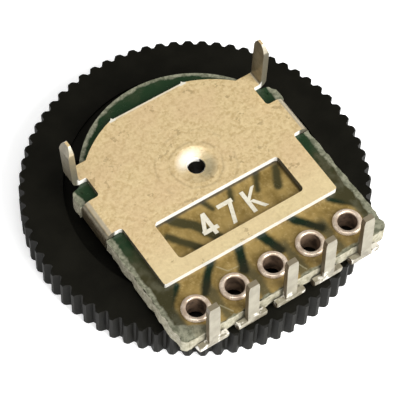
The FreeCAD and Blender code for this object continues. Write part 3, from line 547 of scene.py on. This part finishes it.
# Chips cut the board's wall back by up to CHIP_DEPTH, by a noise pattern that is
# drawn out along Z. RIM_BAND tells the wall's points, on the outline, from the rest.
CHIP_DEPTH = 0.10
CHIP_SCALE = 1.35
CHIP_Z_SQUEEZE = 0.4
CHIP_GAIN = 1.6
CHIP_FALLOFF = 0.9
CHIP_LACUNARITY = 2.0
CHIP_OCTAVES = 3
LONGEST_EDGE = 0.22
SPLIT_ROUNDS = 7
RIM_BAND = 0.02


def refine(mesh):
    """Split every edge longer than LONGEST_EDGE, and keep the faces triangles."""
    for _ in range(SPLIT_ROUNDS):
        long_edges = [edge for edge in mesh.edges if edge.calc_length() > LONGEST_EDGE * MM]
        if not long_edges:
            break
        bmesh.ops.subdivide_edges(mesh, edges=long_edges, cuts=1)
        bmesh.ops.triangulate(mesh, faces=[face for face in mesh.faces if len(face.verts) > 3])


def rim_inset(x, y):
    """Distance inside the nearest of the board's sides, pin edge and arc, and the way out."""
    reach = math.hypot(x, y)
    rims = [(BOARD_HALF_WIDTH - abs(x), (math.copysign(1, x), 0)),
            (y - BOARD_LOW.y, (0, -1))]
    if y > 0:
        rims.append((BOARD_ARC - reach, (x / reach, y / reach)))
    return min(rims)


def make_board():
    """The board with a snapped, slightly ragged edge, cut back from the bare outline."""
    mesh = bmesh.new()
    mesh.from_mesh(NODES["element_board"].data)
    refine(mesh)
    for vertex in mesh.verts:
        x, y, z = vertex.co / MM
        inset, (out_x, out_y) = rim_inset(x, y)
        if inset > RIM_BAND:
            continue
        place = Vector((x, y, z * CHIP_Z_SQUEEZE)) * CHIP_SCALE
        swing = noise.fractal(place, CHIP_FALLOFF, CHIP_LACUNARITY, CHIP_OCTAVES)
        depth = CHIP_DEPTH * min(1.0, abs(swing) * CHIP_GAIN)
        vertex.co.x -= out_x * depth * MM
        vertex.co.y -= out_y * depth * MM
    data = bpy.data.meshes.new("lacquered_board")
    mesh.to_mesh(data)
    mesh.free()
    data.materials.append(FINISHES["laminate"])
    board = bpy.data.objects.new("lacquered_board", data)
    bpy.context.scene.collection.objects.link(board)
    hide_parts("element_board")
    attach(board, "frame")


dress_nodes()
make_board()


# ------------------------------------------------------------ light and camera

CAMERA_PLACE_MM = (-27.95, -38.91, 76.72)
CAMERA_TURN_DEG = (32.03, -1.47, -33.63)
CAMERA_LENS = 176.8
CAMERA_SENSOR = 36
FLOOR_HALF_WIDTH_MM = 600
FLOOR_DROP_MM = 0.02
FLOOR_GLOW = 0.4
WORLD_LIGHT = 0.14

# Place in millimetres, size in millimetres and power in watts.
LAMPS = {
    "key": ((60, -150, 120), 140, 0.58),
    "side": ((-170, 20, 110), 90, 0.04),
    "top": ((-40, -60, 220), 140, 0.26),
}


def add_floor():
    """White paper with a little glow of its own, just under the wheel."""
    mesh = bpy.data.meshes.new("floor")
    half = FLOOR_HALF_WIDTH_MM * MM
    corners = [(-half, -half, 0), (half, -half, 0), (half, half, 0), (-half, half, 0)]
    mesh.from_pydata(corners, [], [(0, 1, 2, 3)])
    floor = bpy.data.objects.new("floor", mesh)
    bpy.context.scene.collection.objects.link(floor)
    floor.location.z = -FLOOR_DROP_MM * MM
    s = Surface("floor_paper", roughness=0.9, specular=0.1)
    s.paint(s.mix(s.noise(0.05), (0.94, 0.94, 0.935), (0.96, 0.96, 0.955)))
    s.shader.inputs["Emission Color"].default_value = (1, 1, 1, 1)
    s.shader.inputs["Emission Strength"].default_value = FLOOR_GLOW
    mesh.materials.append(s.material)


def add_lamp(name, place_mm, size_mm, watts):
    """A square soft lamp aimed at the middle of the part."""
    light = bpy.data.lights.new(name, "AREA")
    light.shape = "SQUARE"
    light.size = size_mm * MM
    light.energy = watts
    lamp = bpy.data.objects.new(name, light)
    lamp.location = Vector(place_mm) * MM
    lamp.rotation_euler = (-lamp.location).to_track_quat("-Z", "Y").to_euler()
    bpy.context.scene.collection.objects.link(lamp)


def add_camera():
    """The photograph's own view: from above, over the terminals' left end."""
    data = bpy.data.cameras.new("camera")
    data.sensor_width = CAMERA_SENSOR
    data.lens = CAMERA_LENS
    data.clip_start = 0.005
    data.clip_end = 5
    camera = bpy.data.objects.new("camera", data)
    camera.location = Vector(CAMERA_PLACE_MM) * MM
    camera.rotation_euler = Euler([math.radians(a) for a in CAMERA_TURN_DEG])
    bpy.context.scene.collection.objects.link(camera)
    bpy.context.scene.camera = camera


def set_world():
    """A dim, even surround, which keeps the black wheel dark."""
    world = bpy.data.worlds.new("studio")
    bpy.context.scene.world = world
    world.use_nodes = True
    back = world.node_tree.nodes["Background"]
    back.inputs["Color"].default_value = (1.0, 1.0, 1.0, 1.0)
    back.inputs["Strength"].default_value = WORLD_LIGHT


add_floor()
for lamp_name, (place_mm, size_mm, watts) in LAMPS.items():
    add_lamp(lamp_name, place_mm, size_mm, watts)
set_world()
bpy.context.scene.view_settings.view_transform = "Standard"
add_camera()
